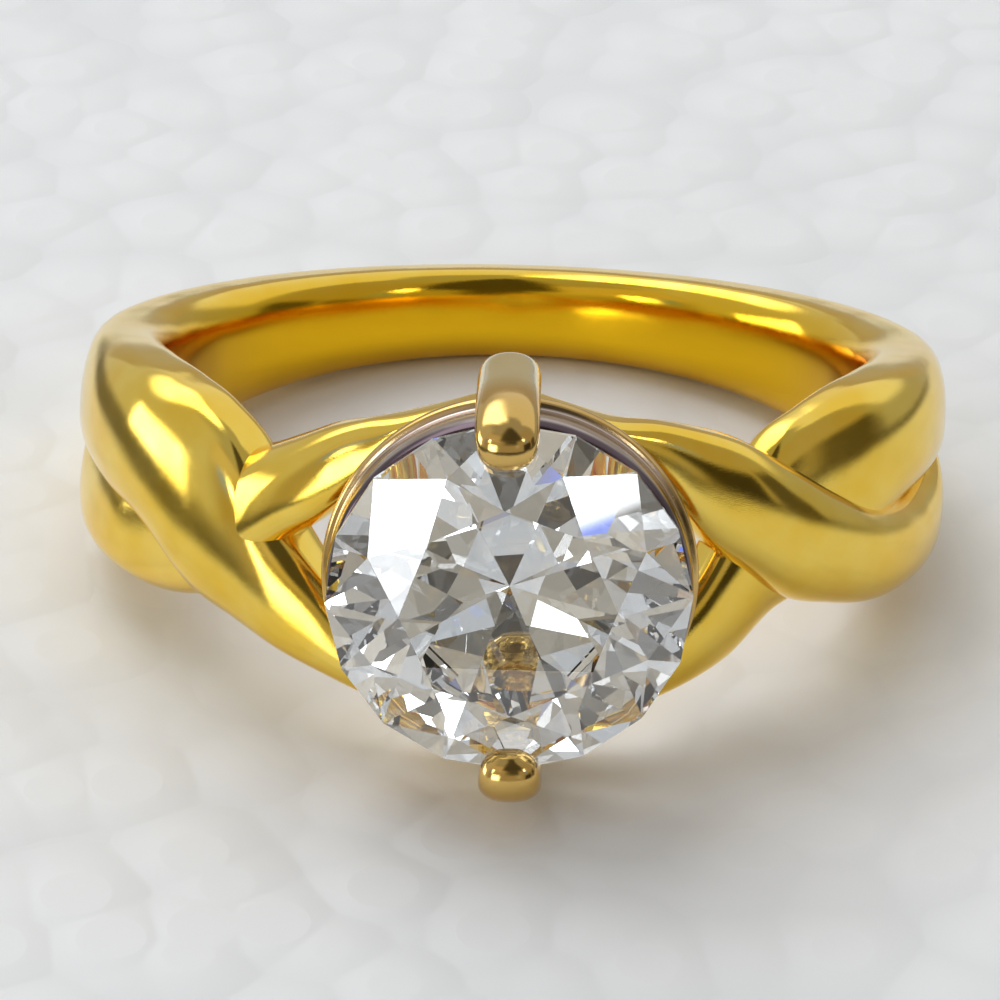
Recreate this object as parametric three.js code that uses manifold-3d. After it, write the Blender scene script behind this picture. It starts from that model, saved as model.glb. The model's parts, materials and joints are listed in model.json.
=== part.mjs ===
// Solitaire engagement ring: a court-shaped band that splits into two crossing strands at each
// shoulder, with a round brilliant-cut stone held by two wide claws. Millimetres, +Z up.
//
// Every piece is drawn in the ring's own frame: X to the wearer's right, the stone towards -Y,
// Z along the finger, origin at the middle of the finger hole. An angle round the finger is
// measured from the stone. The whole ring is then laid down as it rests on a table, on the
// heel of the lower claw and the back of the band.

import * as THREE from 'three';
import Module from 'manifold-3d';

const wasm = await Module();
wasm.setup();

// Driving dimensions
const FINGER_RADIUS = 8.65;
const BAND_OUTER_BACK = 10.45;
const BAND_OUTER_SIDE = 10.7;
const BAND_HALF_WIDTH_MIDDLE = 2.24;   // half the width of the band at the middle of the hole
const BAND_WIDTH_SLOPE = 0.11;         // how fast that half-width shrinks towards the back
const SPLIT_ANGLE = 104;               // where each shoulder starts, in degrees from the stone
const STRAND_END_ANGLE = 2;            // where a strand runs into its claw
const STONE_RADIUS = 4.16;
const GIRDLE_DISTANCE = 12.6;          // from the finger axis to the stone's widest plane
const GIRDLE_THICKNESS = 0.14;
const SOLDER_GAP = 0.03;               // clearance left between neighbouring solids
const LEFT_OVER_LEAN = 0.09;           // how far the outer faces of the left strands lean back
const LEFT_UNDER_LEAN = 0.15;
const HEAD_SHIFT = 0.1;                // the setting sits this far to the right of the middle
const HEAD_TURN = 1.6;                 // and is turned this many degrees about the stone's axis

// Proportions of the brilliant cut, as shares of its radius
const TABLE = 0.59;
const CROWN_HEIGHT = 0.225;
const STAR_TIP = 0.81;
const PAVILION_DEPTH = 0.862;
const LOWER_HALF_TIP = 0.4;
const STONE_TURN = 1.2;                // the stone's turn in its setting, in degrees

// Claws
const CLAW_WIDTH = 1.45;
const CLAW_THICKNESS = 1.34;
const CLAW_HEEL = 9.4;                 // from the finger axis to a claw's heel

// Squareness of the rounded sections: 2 is an ellipse, a higher power has squarer corners
const STRAND_OUTER_POWER = 2.8;
const STRAND_INNER_POWER = 4;
const CLAW_POWER = 2.3;

// How finely the curved pieces are cut up
const SECTION_POINTS = 16;
const STRAND_STEPS = 22;
const HOOP_STEPS = 32;
const RING_STEPS = 36;

const GOLD = { color: 0xe0a92e, roughness: 0.18, metalness: 1 };
const SHADED_GOLD = { color: 0xa98464, roughness: 0.3, metalness: 1 };
const CLEAR_STONE = { color: 0xf2f4f6, roughness: 0.02, metalness: 0 };

const radians = THREE.MathUtils.degToRad;

function ringPoint(angle, radius, z) {
  return new THREE.Vector3(radius * Math.sin(angle), -radius * Math.cos(angle), z);
}

// A closed body from points and triangles, with its faces turned outwards.
function closedBody(points, triangles) {
  let volume = 0;
  for (const [a, b, c] of triangles) {
    volume += points[a].dot(new THREE.Vector3().crossVectors(points[b], points[c]));
  }
  const facing = volume > 0 ? triangles : triangles.map(([a, b, c]) => [a, c, b]);
  const geometry = new THREE.BufferGeometry().setFromPoints(points);
  geometry.setIndex(facing.flat());
  return geometry;
}

// The skin over a row of outlines, which all have the same number of points. An open row gets
// a flat cap at each end; a closed row runs back into its first outline.
function loft(outlines, closed = false) {
  const count = outlines[0].length;
  const points = outlines.flat();
  const triangles = [];
  const lastRow = closed ? outlines.length : outlines.length - 1;
  for (let row = 0; row < lastRow; row += 1) {
    const here = row * count;
    const there = ((row + 1) % outlines.length) * count;
    for (let i = 0; i < count; i += 1) {
      const j = (i + 1) % count;
      triangles.push([here + i, here + j, there + j]);
      triangles.push([here + i, there + j, there + i]);
    }
  }
  if (!closed) {
    const end = (outlines.length - 1) * count;
    for (let i = 1; i < count - 1; i += 1) {
      triangles.push([0, i + 1, i]);
      triangles.push([end, end + i, end + i + 1]);
    }
  }
  return closedBody(points, triangles);
}

// A rounded outline in the square from -1 to 1.
function roundedOutline(count, outerPower, innerPower = outerPower) {
  const outline = [];
  for (let i = 0; i < count; i += 1) {
    const turn = (2 * Math.PI * (i + 0.5)) / count;
    const across = Math.cos(turn);
    const out = Math.sin(turn);
    const power = out > 0 ? outerPower : innerPower;
    const u = Math.sign(across) * Math.abs(across) ** (2 / power);
    const v = Math.sign(out) * Math.abs(out) ** (2 / power);
    outline.push([u, v]);
  }
  return outline;
}

// Booleans on closed bodies
function toManifold(geometry) {
  const vertProperties = new Float32Array(geometry.attributes.position.array);
  const triVerts = new Uint32Array(geometry.index.array);
  return new wasm.Manifold(new wasm.Mesh({ numProp: 3, vertProperties, triVerts }));
}

function fromManifold(solid) {
  const mesh = solid.getMesh();
  const geometry = new THREE.BufferGeometry();
  geometry.setAttribute('position', new THREE.BufferAttribute(mesh.vertProperties, 3));
  geometry.setIndex(new THREE.BufferAttribute(mesh.triVerts, 1));
  return geometry;
}

function cut(geometry, ...cutters) {
  let solid = toManifold(geometry);
  for (const cutter of cutters) {
    solid = solid.subtract(toManifold(cutter));
  }
  return fromManifold(solid);
}

// The back of the band, from one shoulder round to the other. Its half-width depends only on
// the distance along Y, so each of its two side faces is one flat plane.
function shankHoop() {
  const innerSide = [[0, -1], [0.45, -0.96], [0.79, -0.8]];
  const sideFace = [[1, -0.5], [1, 0.55]];
  const outerSide = [[0.92, 0.85], [0.6, 0.98], [0, 1]];
  const half = [...innerSide, ...sideFace, ...outerSide];
  const otherHalf = half.slice(1, -1).reverse().map(([u, v]) => [-u, v]);
  const outline = [...half, ...otherHalf];
  const rows = [];
  for (let step = 0; step <= HOOP_STEPS; step += 1) {
    const degrees = SPLIT_ANGLE + ((360 - 2 * SPLIT_ANGLE) * step) / HOOP_STEPS;
    const angle = radians(degrees);
    const towardsSide = Math.abs(degrees - 180) / (180 - SPLIT_ANGLE);
    const outer = THREE.MathUtils.lerp(BAND_OUTER_BACK, BAND_OUTER_SIDE, towardsSide ** 2);
    rows.push(outline.map(([u, v]) => {
      const middle = (FINGER_RADIUS + outer) / 2;
      const point = ringPoint(angle, middle + (v * (outer - FINGER_RADIUS)) / 2, 0);
      point.z = u * (BAND_HALF_WIDTH_MIDDLE - BAND_WIDTH_SLOPE * point.y);
      return point;
    }));
  }
  return loft(rows);
}

// Stations of each shoulder strand: degrees from the stone, top and bottom heights, outer and
// inner radii. A strand runs from the band to the side of its claw.
const LEFT_OVER = [
  [104, 1.96, -0.45, 10.7, 8.65],
  [90, 2.3, -0.55, 10.84, 8.65],
  [78, 2.58, -0.6, 10.92, 8.65],
  [66, 2.82, -0.7, 11.0, 8.65],
  [54, 2.85, -1.05, 11.05, 8.7],
  [45, 2.6, -2.0, 11.05, 8.8],
  [37, 1.8, -2.4, 11.05, 8.9],
  [30, 0.2, -2.85, 11.0, 9.1],
  [24, -0.9, -3.2, 10.85, 9.3],
  [19, -1.85, -3.5, 10.7, 9.6],
  [14, -2.7, -3.85, 10.6, 9.6],
  [8, -3.35, -4.25, 10.55, 9.65],
  [2, -3.6, -4.45, 10.5, 9.65],
];
const LEFT_UNDER = [
  [104, -0.5, -1.96, 10.7, 8.65],
  [90, -0.35, -2.35, 10.84, 8.65],
  [78, -0.25, -2.62, 10.92, 8.65],
  [66, 0.1, -2.7, 10.85, 8.65],
  [54, 0.8, -2.6, 10.6, 8.65],
  [45, 1.35, -2.15, 10.65, 8.65],
  [37, 1.8, -1.3, 10.9, 8.65],
  [30, 2.35, -0.1, 10.9, 8.8],
  [24, 2.85, 0.7, 10.8, 9.2],
  [19, 3.15, 1.6, 10.65, 9.6],
  [14, 3.4, 2.7, 10.6, 9.6],
  [8, 3.75, 3.2, 10.55, 9.65],
  [2, 4.1, 3.6, 10.5, 9.65],
];
const RIGHT_OVER = [
  [104, -0.5, -1.96, 10.7, 8.65],
  [90, -0.55, -2.35, 10.85, 8.65],
  [78, -0.6, -2.62, 10.95, 8.65],
  [66, -0.42, -2.65, 11.0, 8.65],
  [56, 0.05, -2.48, 11.05, 8.7],
  [48, 0.8, -2.1, 11.05, 8.8],
  [40, 1.7, -1.6, 11.05, 8.9],
  [32, 2.55, -0.55, 11.0, 9.1],
  [26, 2.95, 0.3, 10.85, 9.3],
  [20, 3.25, 1.7, 10.7, 9.6],
  [14, 3.4, 2.75, 10.6, 9.6],
  [8, 3.75, 3.2, 10.55, 9.65],
  [2, 4.1, 3.6, 10.5, 9.65],
];
const RIGHT_UNDER = [
  [104, 1.96, -0.45, 10.7, 8.65],
  [90, 2.3, -0.5, 10.8, 8.65],
  [78, 2.58, -0.55, 10.85, 8.65],
  [66, 2.82, -0.6, 10.75, 8.65],
  [56, 2.85, -1.2, 10.5, 8.65],
  [48, 2.6, -1.8, 10.3, 8.65],
  [40, 2.1, -2.2, 10.2, 8.65],
  [32, 0.6, -3.0, 10.35, 8.8],
  [26, -0.8, -3.3, 10.5, 9.2],
  [20, -1.8, -3.55, 10.6, 9.6],
  [14, -2.7, -3.85, 10.6, 9.6],
  [8, -3.35, -4.25, 10.55, 9.65],
  [2, -3.6, -4.45, 10.5, 9.65],
];

// A shoulder strand on one side (-1 left, 1 right), grown all round by a margin. Its outer face
// may lean: it then falls away towards the strand's top edge.
function strand(stations, side, lean, margin = 0) {
  const places = stations.map(([degrees]) => -degrees);
  const values = stations.flatMap((station) => station.slice(1));
  const smooth = new THREE.CubicInterpolant(places, values, 4);
  const outline = roundedOutline(SECTION_POINTS, STRAND_OUTER_POWER, STRAND_INNER_POWER);
  const rows = [];
  for (let step = 0; step <= STRAND_STEPS; step += 1) {
    const span = SPLIT_ANGLE - STRAND_END_ANGLE;
    const degrees = SPLIT_ANGLE - (span * step) / STRAND_STEPS;
    const [top, bottom, outer, inner] = smooth.evaluate(-degrees);
    const halfHeight = (top - bottom) / 2 + margin;
    const halfDepth = (outer - inner) / 2 + margin;
    const setBack = step === 0 ? SOLDER_GAP / BAND_OUTER_SIDE : 0;
    const angle = side * (radians(degrees) - setBack);
    rows.push(outline.map(([u, v]) => ringPoint(
      angle,
      (outer + inner) / 2 + v * halfDepth - (lean * u * halfHeight * (v + 1)) / 2,
      (top + bottom) / 2 + u * halfHeight,
    )));
  }
  return loft(rows);
}

// A claw, on the upper (1) or lower (-1) side of the stone. Stations from heel to tip:
// distance from the finger axis, distance from the stone's axis, shares of the claw's width and
// thickness, and its lean over the stone in degrees.
const CLAW_STATIONS = [
  [CLAW_HEEL, 4.22, 0.86, 0.8, 0],
  [CLAW_HEEL + 0.12, 4.22, 0.96, 0.94, 0],
  [CLAW_HEEL + 0.5, 4.25, 1, 1, 0],
  [CLAW_HEEL + 1.4, 4.36, 1, 0.8, 0],
  [CLAW_HEEL + 2.4, 4.45, 1, 0.66, 0],
  [12.6, 4.42, 1, 0.66, 14],
  [13.1, 4.27, 1, 0.7, 32],
  [13.38, 4.06, 0.98, 0.74, 52],
  [13.48, 3.82, 0.92, 0.7, 68],
  [13.48, 3.58, 0.76, 0.56, 80],
  [13.44, 3.42, 0.46, 0.36, 86],
];

function claw(side, margin = 0) {
  const outline = roundedOutline(SECTION_POINTS, CLAW_POWER);
  const rows = CLAW_STATIONS.map(([distance, height, widthShare, depthShare, lean]) => {
    const halfWidth = (CLAW_WIDTH * widthShare) / 2 + margin;
    const halfDepth = (CLAW_THICKNESS * depthShare) / 2 + margin;
    const tilt = radians(lean);
    return outline.map(([u, v]) => new THREE.Vector3(
      u * halfWidth,
      -(distance + v * halfDepth * Math.sin(tilt)),
      side * (height + v * halfDepth * Math.cos(tilt)),
    ));
  });
  return loft(rows);
}

// A body turned round the stone's axis, from a closed outline of [radius, distance] points.
function turnedRing(profile) {
  const rows = [];
  for (let step = 0; step < RING_STEPS; step += 1) {
    const turn = (2 * Math.PI * step) / RING_STEPS;
    rows.push(profile.map(([radius, distance]) => new THREE.Vector3(
      radius * Math.cos(turn),
      -distance,
      radius * Math.sin(turn),
    )));
  }
  return loft(rows, true);
}

// The rail under the stone's edge: a narrow front lip, a bevel, and a thin bead at the back.
function bearingRing() {
  return turnedRing([
    [3.78, 12.0],
    [4.0, 12.35],
    [4.1, 12.35],
    [4.19, 11.9],
    [4.14, 11.4],
    [4.16, 11.28],
    [4.29, 11.2],
    [4.31, 11.02],
    [4.2, 10.92],
    [3.8, 10.92],
    [3.72, 11.3],
  ]);
}

// The plain ring that joins the claws' heels on the finger side.
function galleryRing() {
  return turnedRing([
    [2.85, 9.5],
    [3.0, 9.9],
    [3.3, 9.98],
    [3.49, 9.8],
    [3.49, 9.45],
    [3.3, 9.3],
    [3.0, 9.3],
  ]);
}

// The round brilliant: table, stars, kites, upper halves, girdle, lower halves, mains, culet.
function stoneBody(margin = 0) {
  const radius = STONE_RADIUS + margin;
  const front = GIRDLE_DISTANCE + GIRDLE_THICKNESS / 2 + margin / 2;
  const back = GIRDLE_DISTANCE - GIRDLE_THICKNESS / 2 - margin / 2;
  const eighth = Math.PI / 4;
  const crownSlope = CROWN_HEIGHT / (1 - TABLE);
  const starHeight = (1 - STAR_TIP * Math.cos(eighth / 2)) * crownSlope;
  const lowerDepth = (1 - LOWER_HALF_TIP * Math.cos(eighth / 2)) * PAVILION_DEPTH;
  const points = [];
  function addRound(count, share, turn, distance) {
    const first = points.length;
    for (let i = 0; i < count; i += 1) {
      const azimuth = radians(STONE_TURN) + turn + (2 * Math.PI * i) / count;
      const rho = radius * share;
      points.push(new THREE.Vector3(rho * Math.cos(azimuth), -distance, rho * Math.sin(azimuth)));
    }
    return (i) => first + ((i + count) % count);
  }
  const table = addRound(8, TABLE, 0, front + radius * CROWN_HEIGHT);
  const star = addRound(8, STAR_TIP, eighth / 2, front + radius * starHeight);
  const upper = addRound(16, 1, 0, front);
  const lower = addRound(16, 1, 0, back);
  const half = addRound(8, LOWER_HALF_TIP, eighth / 2, back - radius * lowerDepth);
  const culet = points.push(new THREE.Vector3(0, -(back - radius * PAVILION_DEPTH), 0)) - 1;
  const triangles = [];
  for (let i = 1; i < 7; i += 1) {
    triangles.push([table(0), table(i), table(i + 1)]);
  }
  for (let i = 0; i < 8; i += 1) {
    const before = star(i - 1);
    const after = star(i);
    triangles.push([table(i), after, table(i + 1)]);
    triangles.push([table(i), before, upper(2 * i)]);
    triangles.push([table(i), upper(2 * i), after]);
    triangles.push([after, upper(2 * i), upper(2 * i + 1)]);
    triangles.push([after, upper(2 * i + 1), upper(2 * i + 2)]);
    triangles.push([half(i), lower(2 * i + 1), lower(2 * i)]);
    triangles.push([half(i), lower(2 * i + 2), lower(2 * i + 1)]);
    triangles.push([culet, lower(2 * i), half(i - 1)]);
    triangles.push([culet, half(i), lower(2 * i)]);
  }
  for (let i = 0; i < 16; i += 1) {
    triangles.push([upper(i), lower(i), lower(i + 1)]);
    triangles.push([upper(i), lower(i + 1), upper(i + 1)]);
  }
  return closedBody(points, triangles);
}

// The setting's own place: turned about the stone's axis and shifted to the right.
function inHead(geometry) {
  return geometry.rotateY(-radians(HEAD_TURN)).translate(HEAD_SHIFT, 0, 0);
}

function named(name, geometry, finish) {
  const mesh = new THREE.Mesh(geometry, new THREE.MeshStandardMaterial(finish));
  mesh.name = name;
  return mesh;
}

function lowestPoint(mesh, tilt) {
  const lay = new THREE.Matrix4().makeRotationX(tilt);
  const position = mesh.geometry.attributes.position;
  const point = new THREE.Vector3();
  let lowest = Infinity;
  for (let i = 0; i < position.count; i += 1) {
    lowest = Math.min(lowest, point.fromBufferAttribute(position, i).applyMatrix4(lay).z);
  }
  return lowest;
}

// The tilt at which the lower claw and the back of the band touch the table together.
function restingTilt(lowerClaw, hoop) {
  let flat = 0;
  let steep = radians(25);
  for (let halving = 0; halving < 40; halving += 1) {
    const middle = (flat + steep) / 2;
    const clawIsLower = lowestPoint(lowerClaw, -middle) < lowestPoint(hoop, -middle);
    if (clawIsLower) {
      flat = middle;
    } else {
      steep = middle;
    }
  }
  return -flat;
}

const stoneSlot = inHead(stoneBody(SOLDER_GAP));
const clawSlots = [inHead(claw(1, SOLDER_GAP)), inHead(claw(-1, SOLDER_GAP))];
const leftOver = strand(LEFT_OVER, -1, LEFT_OVER_LEAN);
const leftUnder = strand(LEFT_UNDER, -1, LEFT_UNDER_LEAN);
const rightOver = strand(RIGHT_OVER, 1, 0);
const rightUnder = strand(RIGHT_UNDER, 1, 0);
const leftCrossing = strand(LEFT_UNDER, -1, LEFT_UNDER_LEAN, SOLDER_GAP);
const rightCrossing = strand(RIGHT_UNDER, 1, 0, SOLDER_GAP);

const hoop = named('shank_hoop', shankHoop(), GOLD);
const bottomClaw = named('bottom_claw', cut(inHead(claw(-1)), stoneSlot), GOLD);
const ring = new THREE.Group();
ring.add(
  hoop,
  named('left_over_strand', cut(leftOver, leftCrossing, ...clawSlots), GOLD),
  named('left_under_strand', cut(leftUnder, ...clawSlots), GOLD),
  named('right_over_strand', cut(rightOver, rightCrossing, ...clawSlots), GOLD),
  named('right_under_strand', cut(rightUnder, ...clawSlots), GOLD),
  named('top_claw', cut(inHead(claw(1)), stoneSlot), GOLD),
  bottomClaw,
  named('bearing_ring', cut(inHead(bearingRing()), ...clawSlots), SHADED_GOLD),
  named('gallery_ring', inHead(galleryRing()), GOLD),
  named('stone', inHead(stoneBody()), CLEAR_STONE),
);
ring.rotation.x = restingTilt(bottomClaw, hoop);
ring.updateMatrixWorld(true);

const box = new THREE.Box3().setFromObject(ring, true);
const centre = box.getCenter(new THREE.Vector3());
ring.position.set(-centre.x, -centre.y, -box.min.z);

const group = new THREE.Group();
group.add(ring);

export default group;
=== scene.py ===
"""Looks of the solitaire engagement ring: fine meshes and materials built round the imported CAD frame."""

import json
import math

import bmesh
import bpy
import numpy as np
from mathutils import Matrix, Vector


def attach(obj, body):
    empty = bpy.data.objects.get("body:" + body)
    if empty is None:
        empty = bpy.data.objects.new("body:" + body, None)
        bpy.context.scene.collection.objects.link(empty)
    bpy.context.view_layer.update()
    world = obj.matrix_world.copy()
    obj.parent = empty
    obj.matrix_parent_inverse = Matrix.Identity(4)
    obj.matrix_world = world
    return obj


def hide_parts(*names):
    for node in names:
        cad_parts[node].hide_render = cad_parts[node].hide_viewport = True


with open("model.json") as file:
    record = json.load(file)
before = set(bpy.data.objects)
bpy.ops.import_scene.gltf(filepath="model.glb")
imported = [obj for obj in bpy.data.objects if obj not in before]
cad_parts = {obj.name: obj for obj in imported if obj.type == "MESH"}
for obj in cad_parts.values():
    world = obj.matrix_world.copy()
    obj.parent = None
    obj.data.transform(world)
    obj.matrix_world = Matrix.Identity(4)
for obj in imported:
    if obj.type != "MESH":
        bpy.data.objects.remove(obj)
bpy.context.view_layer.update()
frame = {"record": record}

# ---------------------------------------------------------------- driving dimensions
# Millimetres, in the ring's own frame: X right, the stone towards -Y, Z along the finger,
# origin at the middle of the finger hole. They repeat the CAD source's.
MM = 0.001
FINGER_RADIUS = 8.65
BAND_OUTER_BACK = 10.45
BAND_OUTER_SIDE = 10.7
BAND_HALF_WIDTH_MIDDLE = 2.24
BAND_WIDTH_SLOPE = 0.11
SPLIT_ANGLE = 104.0
STRAND_END_ANGLE = 2.0
STONE_RADIUS = 4.16
GIRDLE_DISTANCE = 12.6
GIRDLE_THICKNESS = 0.14
HEAD_SHIFT = 0.1
HEAD_TURN = 1.6

TABLE = 0.59
CROWN_HEIGHT = 0.225
STAR_TIP = 0.81
PAVILION_DEPTH = 0.862
LOWER_HALF_TIP = 0.4
STONE_TURN = 1.2

CLAW_WIDTH = 1.45
CLAW_THICKNESS = 1.34
CLAW_HEEL = 9.4

# The camera, in the ring's own frame
CAMERA_DISTANCE = 110.0
CAMERA_ELEVATION = 18.6
CAMERA_YAW = 0.48
CAMERA_ROLL = 1.35
CAMERA_AIM_DOWN = 1.045
CAMERA_AIM_LEFT = 0.175
CAMERA_LENS = 156.7
CAMERA_SENSOR = 36.0

# How finely the curved pieces are cut up
SECTION_POINTS = 72
STRAND_STEPS = 200
HOOP_STEPS = 220
RING_STEPS = 256
CLAW_STEPS = 72
OUTLINE_SAMPLES = 2880    # points taken on an outline before they are spaced evenly
SHARP_ANGLE = 55.0        # edges bent more than this, in degrees, stay sharp


# ---------------------------------------------------------------- the ring's own frame
def mount(name):
    """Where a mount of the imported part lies, in metres, and which way it faces."""
    found = next(m for m in frame["record"]["mounts"] if m["name"] == name)
    return Vector(found["pos_m"]), Vector(found["axis"])


def ring_to_world():
    """The matrix from the ring's own frame, in millimetres, to the row frame, in metres."""
    table_centre, outward = mount("stone_table")
    back = -outward.normalized()
    right = Vector((1, 0, 0))
    up = right.cross(back)
    turn = Matrix((right, back, up)).transposed()
    table_distance = GIRDLE_DISTANCE + GIRDLE_THICKNESS / 2 + STONE_RADIUS * CROWN_HEIGHT
    origin = table_centre - turn @ Vector((HEAD_SHIFT, -table_distance, 0)) * MM
    return Matrix.Translation(origin) @ turn.to_4x4() @ Matrix.Scale(MM, 4)


TO_WORLD = ring_to_world()
HEAD = Matrix.Translation((HEAD_SHIFT, 0, 0)) @ Matrix.Rotation(-math.radians(HEAD_TURN), 4, "Y")


# ---------------------------------------------------------------- mesh helpers
def smooth_stations(stations, place):
    """A smooth curve through rows of numbers whose first column is the place, in falling order."""
    rows = np.array(stations, float)[::-1]
    places, values = rows[:, 0], rows[:, 1:]
    slopes = np.gradient(values, places, axis=0, edge_order=1)
    i = int(np.clip(np.searchsorted(places, place) - 1, 0, len(places) - 2))
    width = places[i + 1] - places[i]
    t = (place - places[i]) / width
    before = (1 + 2 * t) * (1 - t) ** 2 * values[i] + t * (1 - t) ** 2 * width * slopes[i]
    after = t * t * (3 - 2 * t) * values[i + 1] + t * t * (t - 1) * width * slopes[i + 1]
    return before + after


def smooth_step(low, high, value):
    """0 up to low, 1 from high on, rising smoothly between them."""
    t = min(1.0, max(0.0, (value - low) / (high - low)))
    return t * t * (3 - 2 * t)


def rounded_outline(count, outer_power, inner_power):
    """Points evenly spaced round a rounded square from -1 to 1, from the middle of its outer side.
    A power of 2 is an ellipse, and a higher power has squarer corners."""
    turn = np.linspace(0, 2 * math.pi, OUTLINE_SAMPLES + 1)[:-1] + math.pi / 2
    across, out = np.cos(turn), np.sin(turn)
    power = np.where(out > 0, outer_power, inner_power)
    u = np.sign(across) * np.abs(across) ** (2 / power)
    v = np.sign(out) * np.abs(out) ** (2 / power)
    closed_u, closed_v = np.append(u, u[0]), np.append(v, v[0])
    along = np.concatenate([[0], np.cumsum(np.hypot(np.diff(closed_u), np.diff(closed_v)))])
    wanted = np.arange(count) * along[-1] / count
    return np.stack([np.interp(wanted, along, closed_u), np.interp(wanted, along, closed_v)], 1)


def ring_points(degrees, radius, z):
    """Points at one angle round the finger, measured from the stone."""
    angle = math.radians(degrees)
    radius = np.asarray(radius, float)
    height = np.broadcast_to(z, radius.shape)
    return np.stack([radius * math.sin(angle), -radius * math.cos(angle), height], 1)


def loft_faces(rows, count, closed):
    """Faces over rows of outlines. Open rows get a cap at each end, closed ones join up."""
    faces = []
    for row in range(rows if closed else rows - 1):
        here, there = row * count, ((row + 1) % rows) * count
        for i in range(count):
            j = (i + 1) % count
            faces.append((here + i, here + j, there + j, there + i))
    if not closed:
        end = (rows - 1) * count
        faces.append(tuple(range(count))[::-1])
        faces.append(tuple(range(end, end + count)))
    return faces


def turn_outwards(mesh):
    """Turns every face of a closed mesh outwards."""
    work = bmesh.new()
    work.from_mesh(mesh)
    bmesh.ops.recalc_face_normals(work, faces=work.faces)
    work.to_mesh(mesh)
    work.free()


def add_piece(name, points, faces, material, smooth=True, place=None):
    """A mesh piece from points in the ring's own frame; it stands for the CAD node of that name."""
    matrix = TO_WORLD @ place if place else TO_WORLD
    mesh = bpy.data.meshes.new(name + "_mesh")
    mesh.from_pydata([matrix @ Vector(p) for p in points], [], faces)
    mesh.validate()
    mesh.materials.append(material)
    turn_outwards(mesh)
    mesh.polygons.foreach_set("use_smooth", [smooth] * len(mesh.polygons))
    if smooth:
        mesh.set_sharp_from_angle(angle=math.radians(SHARP_ANGLE))
    piece = bpy.data.objects.new(name + "_fine", mesh)
    bpy.context.scene.collection.objects.link(piece)
    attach(piece, "root")
    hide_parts(name)
    return piece


# ---------------------------------------------------------------- materials
# Where the painted reflections and painted shade on the gold start and end, in the ring's own
# frame, in millimetres: each pair is where a change starts and ends
INNER_REFLECTION_FADE = (FINGER_RADIUS + 0.02, FINGER_RADIUS + 0.5)
CLAW_TIP_SHADE_FADE = (-11.4, -12.2)
RAIL_REFLECTION_DEPTH_FADE = (-11.24, -11.32)
RAIL_REFLECTION_HEIGHT_FADE = (1.2, 3.2)
SEAM_SHADE_FADE = (-12.08, -12.2)
SCRATCH_STRETCH = 9.0     # how many times longer a scratch is than it is wide
SCRATCH_DEPTH = 0.004
STONE_INDEX = 2.42
BEAD_SCALE = 0.42         # beads of the foam board, per millimetre
BEAD_RELIEF = 0.45

# Colours
BAND_LIGHT = (0.93, 0.67, 0.13)
BAND_DEEP = (0.9, 0.59, 0.07)
# painted reflection: the inner face's deeper orange stands in for gold reflected in gold
BAND_INSIDE_REFLECTION = (0.84, 0.49, 0.012)
# painted sheen: the claws' gold is paler than the band's, for their lit tops; painted shade browns their
# tips
CLAW_SHEEN_LIGHT = (0.88, 0.76, 0.46)
CLAW_SHEEN_DEEP = (0.82, 0.68, 0.36)
CLAW_TIP_SHADE = (0.7, 0.46, 0.14)
# painted shade: the rail's brown tones are the gold darkened where it sits under the stone's edge
RAIL_SHADE_LIGHT = (0.72, 0.5, 0.2)
RAIL_SHADE_DEEP = (0.56, 0.35, 0.1)
# painted reflection: mauve-grey on the rail's side above the stone, standing in for the pale back wall it
# mirrors
RAIL_SIDE_REFLECTION = (0.5, 0.42, 0.38)
# painted shade: near black where the rail meets the stone, for the shadow in that gap
RAIL_SEAM_SHADE = (0.1, 0.07, 0.08)
STONE_TINT = (0.95, 0.98, 1.0)
BOARD_LIGHT = (0.94, 0.94, 0.94)
BOARD_DEEP = (0.9, 0.905, 0.91)
# painted shade: the board's grooves between the beads are darkened
BOARD_GROOVE_SHADE = (0.87, 0.875, 0.88)
TABLE_LIGHT = (0.11, 0.1, 0.085)
TABLE_DEEP = (0.07, 0.06, 0.05)


def new_material(name):
    """A node material, with its nodes, its links and its shader."""
    material = bpy.data.materials.new(name)
    material.use_nodes = True
    nodes = material.node_tree.nodes
    return material, nodes, material.node_tree.links, nodes["Principled BSDF"]


def object_coordinates(nodes, links, scale):
    """Object coordinates in millimetres times a scale."""
    coordinates = nodes.new("ShaderNodeTexCoord")
    mapping = nodes.new("ShaderNodeMapping")
    mapping.inputs["Scale"].default_value = [c / MM for c in scale]
    links.new(coordinates.outputs["Object"], mapping.inputs["Vector"])
    return mapping.outputs["Vector"]


def noise(nodes, links, vector, scale, detail=2.0, roughness=0.5):
    """Soft noise from 0 to 1."""
    texture = nodes.new("ShaderNodeTexNoise")
    texture.inputs["Scale"].default_value = scale
    texture.inputs["Detail"].default_value = detail
    texture.inputs["Roughness"].default_value = roughness
    links.new(vector, texture.inputs["Vector"])
    return texture.outputs["Fac"]


def math_node(nodes, links, operation, first, second=None):
    """One sum on one or two values, each a number or a socket."""
    node = nodes.new("ShaderNodeMath")
    node.operation = operation
    for socket, value in zip(node.inputs, (first, second)):
        if value is None:
            continue
        if isinstance(value, (int, float)):
            socket.default_value = value
        else:
            links.new(value, socket)
    return node.outputs[0]


def map_range(nodes, links, value, low, high, to_low, to_high):
    """A value carried from the range low to high onto the range to_low to to_high, and held there."""
    ranged = nodes.new("ShaderNodeMapRange")
    ranged.inputs["From Min"].default_value = low
    ranged.inputs["From Max"].default_value = high
    ranged.inputs["To Min"].default_value = to_low
    ranged.inputs["To Max"].default_value = to_high
    links.new(value, ranged.inputs["Value"])
    return ranged.outputs["Result"]


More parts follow.
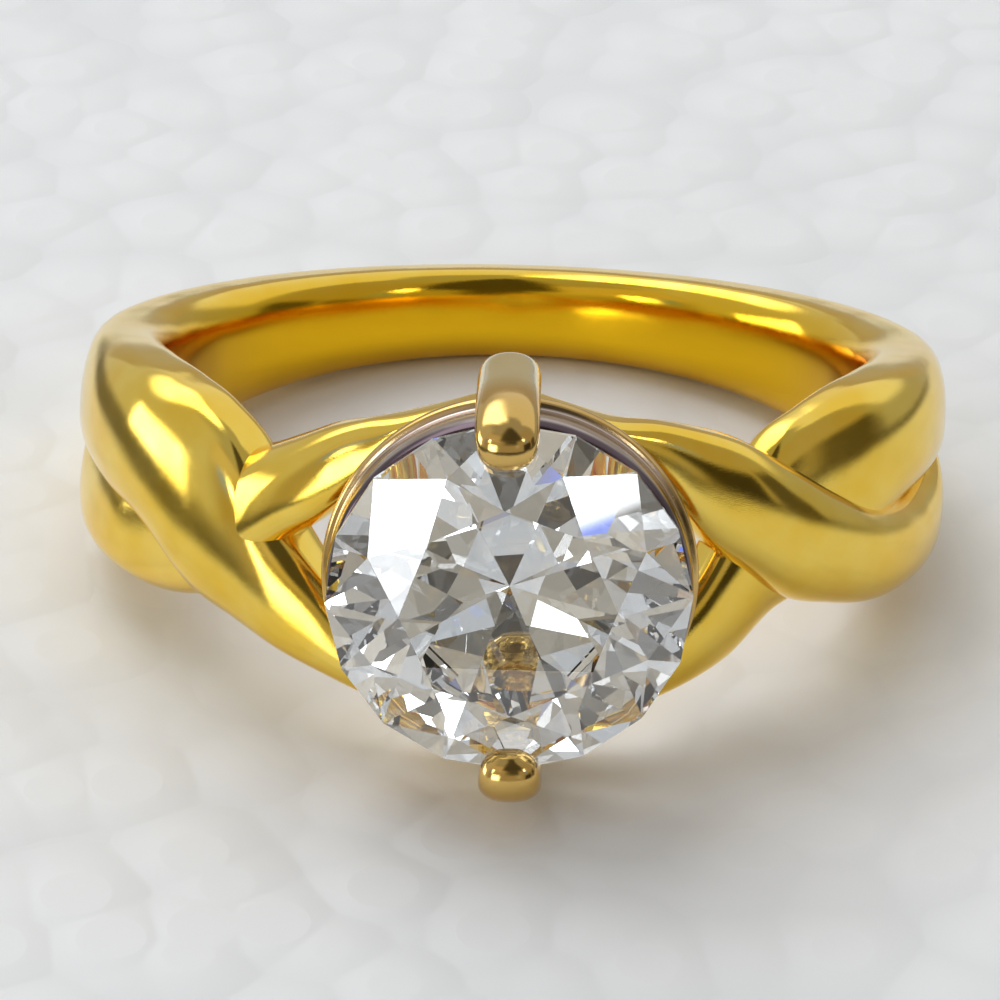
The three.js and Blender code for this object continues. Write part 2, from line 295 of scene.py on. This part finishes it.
def bump(nodes, links, height, distance, strength, after=None):
    """Relief of a height in millimetres, laid over the relief before it."""
    node = nodes.new("ShaderNodeBump")
    node.inputs["Distance"].default_value = distance * MM
    node.inputs["Strength"].default_value = strength
    links.new(height, node.inputs["Height"])
    if after is not None:
        links.new(after, node.inputs["Normal"])
    return node.outputs["Normal"]


def distance_along(nodes, links, axis):
    """How far a point lies along one of the ring's own axes, in millimetres."""
    direction = TO_WORLD.to_3x3().col[axis].normalized()
    coordinates = nodes.new("ShaderNodeTexCoord")
    along = nodes.new("ShaderNodeVectorMath")
    along.operation = "DOT_PRODUCT"
    along.inputs[1].default_value = direction / MM
    links.new(coordinates.outputs["Object"], along.inputs[0])
    start = direction.dot(TO_WORLD.translation) / MM
    return math_node(nodes, links, "SUBTRACT", along.outputs["Value"], start)


def distance_from_finger_axis(nodes, links):
    """How far a point lies from the axis of the finger hole, in millimetres."""
    coordinates = nodes.new("ShaderNodeTexCoord")
    offset = nodes.new("ShaderNodeVectorMath")
    offset.operation = "SUBTRACT"
    offset.inputs[1].default_value = TO_WORLD.translation
    links.new(coordinates.outputs["Object"], offset.inputs[0])
    around = nodes.new("ShaderNodeVectorMath")
    around.operation = "CROSS_PRODUCT"
    around.inputs[1].default_value = TO_WORLD.to_3x3().col[2].normalized() / MM
    links.new(offset.outputs["Vector"], around.inputs[0])
    radius = nodes.new("ShaderNodeVectorMath")
    radius.operation = "LENGTH"
    links.new(around.outputs["Vector"], radius.inputs[0])
    return radius.outputs["Value"]


def colour_mix(nodes, links, share, base, over):
    """One colour laid over another as far as the share says; each is a colour or a socket."""
    blend = nodes.new("ShaderNodeMix")
    blend.data_type = "RGBA"
    links.new(share, blend.inputs["Factor"])
    for socket, value in ((blend.inputs["A"], base), (blend.inputs["B"], over)):
        if isinstance(value, tuple):
            socket.default_value = (*value, 1)
        else:
            links.new(value, socket)
    return blend.outputs["Result"]


def tint(material, zones):
    """Lays colours over a material's own colour, each as far as its share says."""
    nodes, links = material.node_tree.nodes, material.node_tree.links
    base = nodes["Principled BSDF"].inputs["Base Color"]
    tone = base.links[0].from_socket
    for share, colour in zones:
        tone = colour_mix(nodes, links, share, tone, colour)
    links.new(tone, base)


def plain_gold(name, light, deep, roughness, wave):
    """Polished gold: two close tones, hand-polishing waves, fine scratches and a little haze."""
    material, nodes, links, shader = new_material(name)
    even = object_coordinates(nodes, links, (1, 1, 1))
    brushed = object_coordinates(nodes, links, (1, 1, SCRATCH_STRETCH))
    tone = noise(nodes, links, even, 0.55, 3.0)
    tone_share = map_range(nodes, links, tone, 0.35, 0.65, 0, 1)
    links.new(colour_mix(nodes, links, tone_share, deep, light), shader.inputs["Base Color"])
    shader.inputs["Metallic"].default_value = 1.0
    haze = noise(nodes, links, even, 1.7, 5.0, 0.65)
    haze_range = (roughness * 0.7, roughness * 1.6)
    links.new(map_range(nodes, links, haze, 0.35, 0.75, *haze_range), shader.inputs["Roughness"])
    waves = bump(nodes, links, noise(nodes, links, even, 0.42, 1.0), wave, 1.0)
    scratches = noise(nodes, links, brushed, 6.0, 4.0, 0.7)
    links.new(bump(nodes, links, scratches, SCRATCH_DEPTH, 0.35, waves), shader.inputs["Normal"])
    return material


def polished_gold():
    """The band's gold, deeper and more orange on its inner face: a painted reflection of gold in gold."""
    material = plain_gold("polished_gold", BAND_LIGHT, BAND_DEEP, 0.09, 0.04)
    nodes, links = material.node_tree.nodes, material.node_tree.links
    radius = distance_from_finger_axis(nodes, links)
    # painted reflection: deeper orange towards the finger, for gold reflected in gold
    inner_reflection = map_range(nodes, links, radius, *INNER_REFLECTION_FADE, 1, 0)
    tint(material, [(inner_reflection, BAND_INSIDE_REFLECTION)])
    return material


def claw_gold():
    """The claws' gold: paler than the band's as a painted sheen, browner towards the tips as painted
    shade.
    """
    material = plain_gold("claw_gold", CLAW_SHEEN_LIGHT, CLAW_SHEEN_DEEP, 0.1, 0.02)
    nodes, links = material.node_tree.nodes, material.node_tree.links
    # painted shade: browner towards the tips, where the claws bend over the stone's front
    tip_shade = map_range(nodes, links, distance_along(nodes, links, 1), *CLAW_TIP_SHADE_FADE, 0, 1)
    tint(material, [(tip_shade, CLAW_TIP_SHADE)])
    return material


def shaded_gold():
    """The rail's gold: brown all over as painted shade under the stone's edge, a mauve-grey painted
    reflection on its side above the stone, and dark painted shade at the stone's seam.
    """
    # painted shade: brown tones for the rail under the stone's edge
    material = plain_gold("shaded_gold", RAIL_SHADE_LIGHT, RAIL_SHADE_DEEP, 0.18, 0.03)
    nodes, links = material.node_tree.nodes, material.node_tree.links
    depth = distance_along(nodes, links, 1)
    height = distance_along(nodes, links, 2)
    # painted reflection: mauve-grey on the rail's side, only above the stone
    reflection_at_side = map_range(nodes, links, depth, *RAIL_REFLECTION_DEPTH_FADE, 0, 1)
    reflection_up_top = map_range(nodes, links, height, *RAIL_REFLECTION_HEIGHT_FADE, 0, 1)
    painted_reflection_share = math_node(nodes, links, "MULTIPLY", reflection_at_side, reflection_up_top)
    # painted shade: dark in the gap at the stone's seam
    seam_shade = map_range(nodes, links, depth, *SEAM_SHADE_FADE, 0, 1)
    tint(material, [(painted_reflection_share, RAIL_SIDE_REFLECTION), (seam_shade, RAIL_SEAM_SHADE)])
    return material


def clear_stone():
    """A colourless stone: clear, strongly refracting, with the faintest haze on its facets."""
    material, nodes, links, shader = new_material("clear_stone")
    even = object_coordinates(nodes, links, (1, 1, 1))
    shader.inputs["Base Color"].default_value = (*STONE_TINT, 1)
    shader.inputs["Transmission Weight"].default_value = 1.0
    shader.inputs["IOR"].default_value = STONE_INDEX
    dust = noise(nodes, links, even, 3.0, 4.0)
    links.new(map_range(nodes, links, dust, 0.5, 0.9, 0.0, 0.004), shader.inputs["Roughness"])
    return material


def pale_floor():
    """White foam board: swollen beads with soft grooves between them, the grooves darkened with painted
    shade.
    """
    material, nodes, links, shader = new_material("pale_floor")
    even = object_coordinates(nodes, links, (1, 1, 1))
    beads = nodes.new("ShaderNodeTexVoronoi")
    beads.feature = "SMOOTH_F1"
    beads.inputs["Scale"].default_value = BEAD_SCALE
    beads.inputs["Smoothness"].default_value = 0.12
    links.new(even, beads.inputs["Vector"])
    on_bead = map_range(nodes, links, beads.outputs["Distance"], 0.35, 0.85, 1.0, 0.0)
    mottle = noise(nodes, links, even, 0.12, 3.0)
    white = colour_mix(nodes, links, mottle, BOARD_DEEP, BOARD_LIGHT)
    # painted shade: darker in the grooves between the beads
    shaded = colour_mix(nodes, links, on_bead, BOARD_GROOVE_SHADE, white)
    links.new(shaded, shader.inputs["Base Color"])
    shader.inputs["Roughness"].default_value = 0.55
    links.new(bump(nodes, links, on_bead, BEAD_RELIEF, 0.22), shader.inputs["Normal"])
    return material


def dark_table():
    """The dark table under the foam board."""
    material, nodes, links, shader = new_material("dark_table")
    grain = noise(nodes, links, object_coordinates(nodes, links, (1, 1, 1)), 0.03, 4.0)
    brown = colour_mix(nodes, links, grain, TABLE_DEEP, TABLE_LIGHT)
    links.new(brown, shader.inputs["Base Color"])
    shader.inputs["Roughness"].default_value = 0.6
    return material


GOLD = polished_gold()
CLAW_GOLD = claw_gold()
SHADED_GOLD = shaded_gold()
STONE = clear_stone()


# ---------------------------------------------------------------- the band
BAND_OUTLINE = rounded_outline(SECTION_POINTS, 5.0, 2.9)


def band_outer(degrees):
    """The band's outer radius at an angle round the finger."""
    towards_side = abs(degrees - 180) / (180 - SPLIT_ANGLE)
    return BAND_OUTER_BACK + (BAND_OUTER_SIDE - BAND_OUTER_BACK) * towards_side**2


def band_section(degrees):
    """The band's section at an angle round the finger: radii and heights."""
    outer = band_outer(degrees)
    u, v = BAND_OUTLINE.T
    radius = (FINGER_RADIUS + outer) / 2 + v * (outer - FINGER_RADIUS) / 2
    y = -radius * math.cos(math.radians(degrees))
    return radius, u * (BAND_HALF_WIDTH_MIDDLE - BAND_WIDTH_SLOPE * y)


def build_hoop():
    """The back of the band, from one shoulder round to the other."""
    rows = []
    for degrees in np.linspace(SPLIT_ANGLE, 360 - SPLIT_ANGLE, HOOP_STEPS):
        radius, z = band_section(degrees)
        rows.append(ring_points(degrees, radius, z))
    faces = loft_faces(HOOP_STEPS, SECTION_POINTS, False)
    return add_piece("shank_hoop", np.concatenate(rows), faces, GOLD)


# ---------------------------------------------------------------- the shoulder strands
# Degrees from the stone, top and bottom heights, outer and inner radii
LEFT_OVER = [
    (104, 1.96, -0.45, 10.7, 8.65),
    (90, 2.3, -0.55, 10.84, 8.65),
    (78, 2.58, -0.6, 10.92, 8.65),
    (66, 2.82, -0.7, 11.0, 8.65),
    (54, 2.85, -1.05, 11.05, 8.7),
    (45, 2.6, -2.0, 11.05, 8.8),
    (37, 1.8, -2.4, 11.05, 8.9),
    (30, 0.2, -2.85, 11.0, 9.1),
    (24, -0.9, -3.2, 10.85, 9.3),
    (19, -1.85, -3.5, 10.7, 9.6),
    (14, -2.7, -3.85, 10.6, 9.6),
    (8, -3.35, -4.25, 10.55, 9.65),
    (2, -3.6, -4.45, 10.5, 9.65),
]
LEFT_UNDER = [
    (104, -0.5, -1.96, 10.7, 8.65),
    (90, -0.35, -2.35, 10.84, 8.65),
    (78, -0.25, -2.62, 10.92, 8.65),
    (66, 0.1, -2.7, 10.85, 8.65),
    (54, 0.8, -2.6, 10.6, 8.65),
    (45, 1.35, -2.15, 10.65, 8.65),
    (37, 1.8, -1.3, 10.9, 8.65),
    (30, 2.35, -0.1, 10.9, 8.8),
    (24, 2.85, 0.7, 10.8, 9.2),
    (19, 3.15, 1.6, 10.65, 9.6),
    (14, 3.4, 2.7, 10.6, 9.6),
    (8, 3.75, 3.2, 10.55, 9.65),
    (2, 4.1, 3.6, 10.5, 9.65),
]
RIGHT_OVER = [
    (104, -0.5, -1.96, 10.7, 8.65),
    (90, -0.55, -2.35, 10.85, 8.65),
    (78, -0.6, -2.62, 10.95, 8.65),
    (66, -0.42, -2.65, 11.0, 8.65),
    (56, 0.05, -2.48, 11.05, 8.7),
    (48, 0.8, -2.1, 11.05, 8.8),
    (40, 1.7, -1.6, 11.05, 8.9),
    (32, 2.55, -0.55, 11.0, 9.1),
    (26, 2.95, 0.3, 10.85, 9.3),
    (20, 3.25, 1.7, 10.7, 9.6),
    (14, 3.4, 2.75, 10.6, 9.6),
    (8, 3.75, 3.2, 10.55, 9.65),
    (2, 4.1, 3.6, 10.5, 9.65),
]
RIGHT_UNDER = [
    (104, 1.96, -0.45, 10.7, 8.65),
    (90, 2.3, -0.5, 10.8, 8.65),
    (78, 2.58, -0.55, 10.85, 8.65),
    (66, 2.82, -0.6, 10.75, 8.65),
    (56, 2.85, -1.2, 10.5, 8.65),
    (48, 2.6, -1.8, 10.3, 8.65),
    (40, 2.1, -2.2, 10.2, 8.65),
    (32, 0.6, -3.0, 10.35, 8.8),
    (26, -0.8, -3.3, 10.5, 9.2),
    (20, -1.8, -3.55, 10.6, 9.6),
    (14, -2.7, -3.85, 10.6, 9.6),
    (8, -3.35, -4.25, 10.55, 9.65),
    (2, -3.6, -4.45, 10.5, 9.65),
]
STRAND_OUTLINE = rounded_outline(SECTION_POINTS, 2.5, 4.0)
SPLIT_HEIGHT = -0.475     # where the band's section is shared between the two strands
MERGE_SPAN = 30.0         # degrees within which a strand leaves the band's section
LEFT_OVER_LEAN = 0.09     # how far the outer faces of the left strands lean back
LEFT_UNDER_LEAN = 0.15


def build_strand(name, stations, side, upper, lean):
    """One shoulder strand. At the band it starts as a slice of the band's own section, above or
    below the split, and within a short span it takes on its own rounded section. Its outer face
    may lean: it then falls away towards the strand's top edge."""
    u, v = STRAND_OUTLINE.T
    rows = []
    for degrees in np.linspace(SPLIT_ANGLE, STRAND_END_ANGLE, STRAND_STEPS):
        top, bottom, outer, inner = smooth_stations(stations, degrees)
        radius = (outer + inner) / 2 + v * (outer - inner) / 2
        z = (top + bottom) / 2 + u * (top - bottom) / 2
        radius = radius - lean * u * (top - bottom) / 2 * np.clip((v + 1) / 2, 0, 1)
        share = smooth_step(SPLIT_ANGLE, SPLIT_ANGLE - MERGE_SPAN, degrees)
        if share < 1:
            band_radius, band_z = band_section(degrees)
            band_z = np.maximum(band_z, SPLIT_HEIGHT) if upper else np.minimum(band_z, SPLIT_HEIGHT)
            radius = band_radius + (radius - band_radius) * share
            z = band_z + (z - band_z) * share
        rows.append(ring_points(side * degrees, radius, z))
    faces = loft_faces(STRAND_STEPS, SECTION_POINTS, False)
    return add_piece(name, np.concatenate(rows), faces, GOLD)


# ---------------------------------------------------------------- the setting
# From heel to tip: distance from the finger axis, distance from the stone's axis, shares of
# the claw's width and thickness, and its lean over the stone in degrees
CLAW_STATIONS = [
    (CLAW_HEEL, 4.22, 0.86, 0.8, 0),
    (CLAW_HEEL + 0.12, 4.22, 0.96, 0.94, 0),
    (CLAW_HEEL + 0.5, 4.25, 1, 1, 0),
    (CLAW_HEEL + 1.4, 4.36, 1, 0.8, 0),
    (CLAW_HEEL + 2.4, 4.45, 1, 0.66, 0),
    (12.6, 4.42, 1, 0.66, 14),
    (13.1, 4.27, 1, 0.7, 32),
    (13.38, 4.06, 0.98, 0.74, 52),
    (13.48, 3.82, 0.92, 0.7, 68),
    (13.48, 3.58, 0.76, 0.56, 80),
    (13.44, 3.42, 0.46, 0.36, 86),
]
CLAW_OUTLINE = rounded_outline(SECTION_POINTS, 2.3, 2.8)


def build_claw(name, side):
    """A claw, on the upper (1) or lower (-1) side of the stone."""
    u, v = CLAW_OUTLINE.T
    numbered = [(len(CLAW_STATIONS) - 1 - i, *row) for i, row in enumerate(CLAW_STATIONS)]
    rows = []
    for place in np.linspace(len(CLAW_STATIONS) - 1, 0, CLAW_STEPS):
        distance, height, width, depth, lean = smooth_stations(numbered, place)
        half_width = CLAW_WIDTH * width / 2
        half_depth = CLAW_THICKNESS * depth / 2
        tilt = math.radians(lean)
        rows.append(np.stack([
            u * half_width,
            -(distance + v * half_depth * math.sin(tilt)),
            side * (height + v * half_depth * math.cos(tilt)),
        ], 1))
    faces = loft_faces(CLAW_STEPS, SECTION_POINTS, False)
    return add_piece(name, np.concatenate(rows), faces, CLAW_GOLD, place=HEAD)


def turned_ring(name, profile, material):
    """A body turned round the stone's axis, from a closed outline of (radius, distance) points."""
    profile = np.array(profile, float)
    rows = []
    for step in range(RING_STEPS):
        turn = 2 * math.pi * step / RING_STEPS
        rows.append(np.stack([
            profile[:, 0] * math.cos(turn),
            -profile[:, 1],
            profile[:, 0] * math.sin(turn),
        ], 1))
    faces = loft_faces(RING_STEPS, len(profile), True)
    return add_piece(name, np.concatenate(rows), faces, material, place=HEAD)


def rounded_profile(corners, rounds=2):
    """A closed outline whose corners are cut off, round after round, until they look rounded."""
    points = np.array(corners, float)
    for _ in range(rounds):
        following = np.roll(points, -1, axis=0)
        points = np.stack([points * 0.75 + following * 0.25, points * 0.25 + following * 0.75], 1)
        points = points.reshape(-1, 2)
    return points


def build_bearing_ring():
    """The rail under the stone's edge: a narrow front lip, a bevel, and a thin bead at the back."""
    profile = rounded_profile([
        (3.78, 12.0), (4.0, 12.38), (4.1, 12.38), (4.2, 12.0), (4.14, 11.45), (4.14, 11.3),
        (4.3, 11.24), (4.33, 11.02), (4.22, 10.9), (3.8, 10.9), (3.7, 11.3),
    ])
    return turned_ring("bearing_ring", profile, SHADED_GOLD)


def build_gallery_ring():
    """The plain ring that joins the claws' heels on the finger side."""
    profile = rounded_profile([
        (2.85, 9.5), (3.0, 9.9), (3.3, 9.98), (3.49, 9.8), (3.49, 9.45), (3.3, 9.3), (3.0, 9.3),
    ])
    return turned_ring("gallery_ring", profile, GOLD)


def build_stone():
    """The round brilliant: table, stars, kites, upper halves, girdle, lower halves, mains, culet."""
    front = GIRDLE_DISTANCE + GIRDLE_THICKNESS / 2
    back = GIRDLE_DISTANCE - GIRDLE_THICKNESS / 2
    eighth = math.pi / 4
    crown_slope = CROWN_HEIGHT / (1 - TABLE)
    star_height = (1 - STAR_TIP * math.cos(eighth / 2)) * crown_slope
    lower_depth = (1 - LOWER_HALF_TIP * math.cos(eighth / 2)) * PAVILION_DEPTH
    points = []

    def add_round(count, share, turn, distance):
        first = len(points)
        for i in range(count):
            azimuth = math.radians(STONE_TURN) + turn + 2 * math.pi * i / count
            rho = STONE_RADIUS * share
            points.append((rho * math.cos(azimuth), -distance, rho * math.sin(azimuth)))
        return [first + i for i in range(count)]

    table = add_round(8, TABLE, 0, front + STONE_RADIUS * CROWN_HEIGHT)
    star = add_round(8, STAR_TIP, eighth / 2, front + STONE_RADIUS * star_height)
    upper = add_round(16, 1, 0, front)
    lower = add_round(16, 1, 0, back)
    half = add_round(8, LOWER_HALF_TIP, eighth / 2, back - STONE_RADIUS * lower_depth)
    culet = len(points)
    points.append((0, -(back - STONE_RADIUS * PAVILION_DEPTH), 0))
    faces = [tuple(table)]
    for i in range(8):
        after = (i + 1) % 8
        faces.append((table[i], star[i], table[after]))
        faces.append((table[i], star[i - 1], upper[2 * i], star[i]))
        faces.append((star[i], upper[2 * i], upper[2 * i + 1]))
        faces.append((star[i], upper[2 * i + 1], upper[(2 * i + 2) % 16]))
        faces.append((half[i], lower[2 * i + 1], lower[2 * i]))
        faces.append((half[i], lower[(2 * i + 2) % 16], lower[2 * i + 1]))
        faces.append((culet, half[i], lower[2 * i], half[i - 1]))
    for i in range(16):
        after = (i + 1) % 16
        faces.append((upper[i], lower[i], lower[after], upper[after]))
    return add_piece("stone", points, faces, STONE, smooth=False, place=HEAD)


# ---------------------------------------------------------------- stage, light and camera
BOARD_LOW = (-22.0, -33.0, -6.0)
BOARD_HIGH = (34.0, 50.0, 0.0)
TABLE_HALF = 100.0
MOST_BOUNCES = 32
STONE_BOUNCES = 24
METAL_BOUNCES = 12


def stage_mesh(name, points, faces, material):
    """A mesh of the stage, from points in the row frame, in millimetres."""
    mesh = bpy.data.meshes.new(name + "_mesh")
    mesh.from_pydata([Vector(p) * MM for p in points], [], faces)
    mesh.materials.append(material)
    piece = bpy.data.objects.new(name, mesh)
    bpy.context.scene.collection.objects.link(piece)


def build_stage():
    """A foam board with the ring on it, on a darker table."""
    points = [(x, y, z) for z in (BOARD_LOW[2], BOARD_HIGH[2])
              for y in (BOARD_LOW[1], BOARD_HIGH[1]) for x in (BOARD_LOW[0], BOARD_HIGH[0])]
    sides = [(0, 2, 3, 1), (4, 5, 7, 6), (0, 1, 5, 4), (2, 6, 7, 3), (0, 4, 6, 2), (1, 3, 7, 5)]
    stage_mesh("floor", points, sides, pale_floor())
    h, z = TABLE_HALF, BOARD_LOW[2]
    stage_mesh("table", [(-h, -h, z), (h, -h, z), (h, h, z), (-h, h, z)], [(0, 1, 2, 3)], dark_table())


# Colours of what is seen in the room
WARM = (1.0, 0.91, 0.75)
PLAIN = (0.98, 0.99, 1.0)
COOL = (0.92, 0.96, 1.0)
BLUE = (0.25, 0.35, 1.0)
ROOM_LEVEL = 0.42         # brightness of the plain walls
# What the room shows in each direction, from the far layers to the near ones: azimuth from the
# camera's side (positive to the right), elevation, half-width, half-height, softness of the
# edge (all in degrees), brightness and colour
ROOM = [
    (180, 40, 70, 22, 8, 0.85, PLAIN),
    (-115, 25, 45, 25, 20, 0.6, PLAIN),
    (180, 6, 26, 7, 4, 0.45, WARM),
    (15, 25, 75, 25, 15, 0.42, WARM),
    (-40, 38, 25, 10, 8, 0.62, WARM),
    (8, 29, 10, 9, 5, 0.1, WARM),
    (12, 58, 24, 24, 6, 0.08, WARM),
    (55, 3, 14, 9, 4, 0.05, WARM),
    (87, 3, 9, 10, 4, 0.1, WARM),
    (-97, 1, 13, 8, 3, 5.0, COOL),
    (-33, 2, 11, 10, 3, 5.0, COOL),
    (-143, 53, 22, 16, 14, 3.2, COOL),
    (-46.8, 24.3, 3.5, 3.5, 1, 8.0, COOL),
    (44.4, 30.4, 3, 3, 0.3, 8.0, COOL),
    (-57, 23, 4, 4, 2, 1.2, BLUE),
    (50, 22, 4, 3, 2, 1.2, BLUE),
    (20, 12, 4, 4, 2, 0.6, COOL),
]


def soft_band(nodes, links, value, middle, half, softness):
    """1 within half of the middle, falling to 0 over the softness beyond it."""
    offset = math_node(nodes, links, "SUBTRACT", value, middle)
    away = math_node(nodes, links, "ABSOLUTE", offset)
    ranged = nodes.new("ShaderNodeMapRange")
    ranged.interpolation_type = "SMOOTHSTEP"
    ranged.inputs["From Min"].default_value = half
    ranged.inputs["From Max"].default_value = half + softness
    ranged.inputs["To Min"].default_value = 1.0
    ranged.inputs["To Max"].default_value = 0.0
    links.new(away, ranged.inputs["Value"])
    return ranged.outputs["Result"]


def build_world():
    """The room round the ring: plain walls, and each row of ROOM laid over what is before it."""
    world = bpy.data.worlds.new("studio")
    bpy.context.scene.world = world
    world.use_nodes = True
    nodes, links = world.node_tree.nodes, world.node_tree.links
    coordinates = nodes.new("ShaderNodeTexCoord")
    separate = nodes.new("ShaderNodeSeparateXYZ")
    links.new(coordinates.outputs["Generated"], separate.inputs["Vector"])
    towards = math_node(nodes, links, "MULTIPLY", separate.outputs["Y"], -1.0)
    azimuth = math_node(nodes, links, "ARCTAN2", separate.outputs["X"], towards)
    azimuth = math_node(nodes, links, "MULTIPLY", azimuth, 180 / math.pi)
    elevation = math_node(nodes, links, "ARCSINE", separate.outputs["Z"])
    elevation = math_node(nodes, links, "MULTIPLY", elevation, 180 / math.pi)
    view = None
    for middle, height, half_width, half_height, softness, level, colour in ROOM:
        across = soft_band(nodes, links, azimuth, middle, half_width, softness)
        crosses_back = abs(middle) + half_width + softness > 180
        if crosses_back:
            other = middle - 360 if middle > 0 else middle + 360
            wrapped = soft_band(nodes, links, azimuth, other, half_width, softness)
            across = math_node(nodes, links, "MAXIMUM", across, wrapped)
        upright = soft_band(nodes, links, elevation, height, half_height, softness)
        mask = math_node(nodes, links, "MULTIPLY", across, upright)
        cover = nodes.new("ShaderNodeMix")
        cover.data_type = "RGBA"
        cover.clamp_result = False
        cover.inputs["A"].default_value = [ROOM_LEVEL * c for c in PLAIN] + [1]
        cover.inputs["B"].default_value = [level * c for c in colour] + [1]
        links.new(mask, cover.inputs["Factor"])
        if view is not None:
            links.new(view, cover.inputs["A"])
        view = cover.outputs["Result"]
    links.new(view, nodes["Background"].inputs["Color"])


def build_camera():
    """The camera, placed in the ring's own frame and carried into the row frame with it."""
    yaw, elevation, roll = (math.radians(a) for a in (CAMERA_YAW, CAMERA_ELEVATION, CAMERA_ROLL))
    turn = Matrix.Rotation(yaw, 3, "Z")
    forward = turn @ Vector((0, math.cos(elevation), -math.sin(elevation)))
    upward = turn @ Vector((0, math.sin(elevation), math.cos(elevation)))
    right = forward.cross(upward)
    rolled_right = right * math.cos(roll) + upward * math.sin(roll)
    rolled_up = upward * math.cos(roll) - right * math.sin(roll)
    place = -forward * CAMERA_DISTANCE
    aim = Matrix.Rotation(-math.radians(CAMERA_AIM_DOWN), 3, rolled_right)
    aim = Matrix.Rotation(math.radians(CAMERA_AIM_LEFT), 3, rolled_up) @ aim
    axes = Matrix((aim @ rolled_right, aim @ rolled_up, aim @ -forward)).transposed()
    rotation = TO_WORLD.to_3x3().normalized() @ axes
    data = bpy.data.cameras.new("camera")
    data.lens = CAMERA_LENS
    data.sensor_width = CAMERA_SENSOR
    data.clip_start = 0.002
    data.clip_end = 10.0
    camera = bpy.data.objects.new("camera", data)
    camera.matrix_world = Matrix.Translation(TO_WORLD @ place) @ rotation.to_4x4()
    bpy.context.scene.collection.objects.link(camera)
    bpy.context.scene.camera = camera


def set_rendering():
    """Plain colours, and enough bounces for light to find its way out of the stone."""
    scene = bpy.context.scene
    scene.view_settings.view_transform = "Standard"
    scene.cycles.max_bounces = MOST_BOUNCES
    scene.cycles.transmission_bounces = STONE_BOUNCES
    scene.cycles.glossy_bounces = METAL_BOUNCES


build_camera()
build_hoop()
build_strand("left_over_strand", LEFT_OVER, -1, True, LEFT_OVER_LEAN)
build_strand("left_under_strand", LEFT_UNDER, -1, False, LEFT_UNDER_LEAN)
build_strand("right_over_strand", RIGHT_OVER, 1, False, 0.0)
build_strand("right_under_strand", RIGHT_UNDER, 1, True, 0.0)
build_claw("top_claw", 1)
build_claw("bottom_claw", -1)
build_bearing_ring()
build_gallery_ring()
build_stone()
build_stage()
build_world()
set_rendering()
